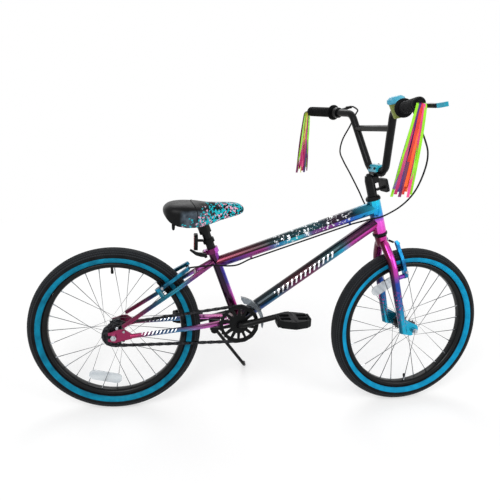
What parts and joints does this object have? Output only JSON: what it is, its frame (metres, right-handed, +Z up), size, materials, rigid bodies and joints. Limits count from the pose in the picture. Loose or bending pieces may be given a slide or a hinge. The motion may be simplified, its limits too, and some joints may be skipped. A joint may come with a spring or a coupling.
{
  "type": "bmx bike",
  "caption": "Small-wheeled bmx bicycle leaning on its kickstand, with turning bars, cable brakes, chain drive, padded saddle, bell and grip streamers.",
  "frame": {"origin": "middle of the bounding box at ground level", "axes": "+X forward, +Y to the rider's left, +Z up"},
  "size_m": [1.418, 0.768, 0.9792],
  "materials": {
    "candy_cyan": "candy gloss",
    "candy_magenta": "candy gloss",
    "candy_violet": "candy gloss",
    "candy_blue": "candy gloss",
    "black_steel": "satin black",
    "black_plastic": "matt",
    "black_rubber": "matt",
    "tyre_rubber": "matt with a coloured band",
    "silver_steel": "bright",
    "dark_steel": "oiled",
    "blue_anodised": "anodised",
    "smoke_plastic": "smoky",
    "clear_reflector": "prismatic",
    "red_reflector": "prismatic",
    "lime_plastic": "gloss",
    "cyan_plastic": "gloss",
    "pink_vinyl": "soft gloss",
    "black_vinyl": "grained"
  },
  "bodies": {
    "frame": {"head_tube": "candy_cyan", "top_tube": "candy_magenta", "down_tube": "candy_blue", "seat_tube": "candy_violet", "bottom_bracket_shell": "candy_magenta", "chain_stay_right": "candy_magenta", "chain_stay_left": "candy_magenta", "seat_stays": "candy_magenta", "headset_upper_cup": "black_steel", "headset_lower_cup": "black_steel", "seat_clamp": "candy_magenta", "bearing_cup_right": "black_steel", "bearing_cup_left": "black_steel", "chain_guard": "smoke_plastic", "kickstand_bracket": "black_steel", "rear_brake_cable": "black_plastic", "chain": "dark_steel", "rear_axle": "silver_steel"},
    "seat": {"seatpost": "black_steel", "saddle": "black_vinyl", "saddle_clamp": "black_steel", "rear_reflector": "red_reflector"},
    "seat_lever": {"seat_clamp_lever": "black_steel"},
    "steering": {"fork": "candy_magenta", "stem": "black_steel", "stem_cap": "cyan_plastic", "handlebar": "black_steel", "grip_right": "black_rubber", "grip_left": "black_rubber", "brake_perch_right": "black_steel", "brake_perch_left": "black_steel", "front_reflector": "clear_reflector", "bell_body": "lime_plastic", "streamers_right": "pink_vinyl", "streamers_left": "pink_vinyl", "front_brake_cable": "black_plastic", "rear_brake_cable_loop": "black_plastic", "front_axle": "silver_steel"},
    "right_lever": {"brake_lever_right": "blue_anodised"},
    "left_lever": {"brake_lever_left": "blue_anodised"},
    "bell_top": {"bell_cap": "cyan_plastic"},
    "front_arm_right": {"front_brake_arm_right": "blue_anodised"},
    "front_arm_left": {"front_brake_arm_left": "blue_anodised"},
    "rear_arm_right": {"rear_brake_arm_right": "blue_anodised"},
    "rear_arm_left": {"rear_brake_arm_left": "blue_anodised"},
    "front_wheel": {"front_tyre": "tyre_rubber", "front_rim": "black_steel", "front_hub": "silver_steel", "front_spoke_reflector": "clear_reflector"},
    "rear_wheel": {"rear_tyre": "tyre_rubber", "rear_rim": "black_steel", "rear_hub": "silver_steel", "rear_spoke_reflector": "clear_reflector"},
    "freewheel": {"freewheel_cog": "dark_steel"},
    "crankset": {"crank": "black_steel", "chainring": "dark_steel", "chainring_guard": "black_plastic"},
    "right_pedal": {"pedal_right": "black_plastic"},
    "left_pedal": {"pedal_left": "black_plastic"},
    "stand": {"kickstand_leg": "black_steel"}
  },
  "joints": [
    {"name": "seat_height", "type": "slide", "parent": "frame", "child": "seat", "axis": [-0.3558, 0.0977, 0.9294], "range_m": [0, 0.08]},
    {"name": "seat_lever_turn", "type": "hinge", "parent": "frame", "child": "seat_lever", "pos_m": [-0.19473, -0.05819, 0.49169], "axis": [-0.3558, 0.0977, 0.9294], "range_deg": [0, 150]},
    {"name": "steer", "type": "hinge", "parent": "frame", "child": "steering", "pos_m": [0.43478, -0.05303, 0.24656], "axis": [-0.2931, 0.1, 0.9508], "range_deg": [-66, 53], "deforming": ["rear_brake_cable_loop"]},
    {"name": "right_lever_pull", "type": "hinge", "parent": "steering", "child": "right_lever", "pos_m": [0.31762, -0.18082, 0.94524], "axis": [0.2931, -0.1, -0.9508], "range_deg": [0, 16], "stiffness_Nm_per_rad": 0.6, "springref_deg": -17.19, "deforming": ["rear_brake_cable"]},
    {"name": "left_lever_pull", "type": "hinge", "parent": "steering", "child": "left_lever", "pos_m": [0.27103, 0.23056, 0.88763], "axis": [-0.2931, 0.1, 0.9508], "range_deg": [0, 16], "stiffness_Nm_per_rad": 0.6, "springref_deg": -17.19, "deforming": ["front_brake_cable"]},
    {"name": "bell_twist", "type": "hinge", "parent": "steering", "child": "bell_top", "pos_m": [0.28279, -0.14244, 0.95], "axis": [-0.2931, 0.1, 0.9508], "range_deg": [0, 60]},
    {"name": "front_arm_right_close", "type": "hinge", "parent": "steering", "child": "front_arm_right", "pos_m": [0.41601, -0.0807, 0.4372], "axis": [-0.9496, -0.1464, -0.2773], "range_deg": [0, 4.5]},
    {"name": "front_arm_left_close", "type": "hinge", "parent": "steering", "child": "front_arm_left", "pos_m": [0.40455, 0.0205, 0.42303], "axis": [0.9496, 0.1464, 0.2773], "range_deg": [0, 4.5]},
    {"name": "rear_arm_right_close", "type": "hinge", "parent": "frame", "child": "rear_arm_right", "pos_m": [-0.33012, -0.08109, 0.39378], "axis": [-0.568, 0.0861, 0.8185], "range_deg": [0, 4.5]},
    {"name": "rear_arm_left_close", "type": "hinge", "parent": "frame", "child": "rear_arm_left", "pos_m": [-0.33012, 0.00515, 0.38472], "axis": [0.568, -0.0861, -0.8185], "range_deg": [0, 4.5]},
    {"name": "front_wheel_spin", "type": "hinge", "parent": "steering", "child": "front_wheel", "pos_m": [0.45567, -0.04981, 0.25266], "axis": [-0.1115, 0.9842, -0.1378], "continuous": true},
    {"name": "rear_wheel_spin", "type": "hinge", "parent": "frame", "child": "rear_wheel", "pos_m": [-0.45618, -0.05236, 0.25225], "axis": [0.0001, 0.9945, -0.1045], "continuous": true},
    {"name": "crank_spin", "type": "hinge", "parent": "frame", "child": "crankset", "pos_m": [-0.09121, -0.04922, 0.28237], "axis": [0.0001, 0.9945, -0.1045], "continuous": true},
    {"name": "freewheel_spin", "type": "hinge", "parent": "frame", "child": "freewheel", "pos_m": [-0.45618, -0.05236, 0.25225], "axis": [0.0001, 0.9945, -0.1045], "continuous": true},
    {"name": "right_pedal_spin", "type": "hinge", "parent": "crankset", "child": "right_pedal", "pos_m": [0.05592, -0.04525, 0.32034], "axis": [0.0001, 0.9945, -0.1045], "continuous": true},
    {"name": "left_pedal_spin", "type": "hinge", "parent": "crankset", "child": "left_pedal", "pos_m": [-0.23833, -0.0532, 0.24441], "axis": [0.0001, 0.9945, -0.1045], "continuous": true},
    {"name": "stand_fold", "type": "hinge", "parent": "frame", "child": "stand", "pos_m": [-0.15817, -0.02399, 0.23543], "axis": [0.0001, 0.9945, -0.1045], "range_deg": [0, 115]}
  ],
  "couplings": [
    {"joint": "freewheel_spin", "follows": "crank_spin", "ratio": 1.75},
    {"joint": "front_arm_right_close", "follows": "left_lever_pull", "ratio": 0.28},
    {"joint": "front_arm_left_close", "follows": "left_lever_pull", "ratio": 0.28},
    {"joint": "rear_arm_right_close", "follows": "right_lever_pull", "ratio": 0.28},
    {"joint": "rear_arm_left_close", "follows": "right_lever_pull", "ratio": 0.28}
  ]
}
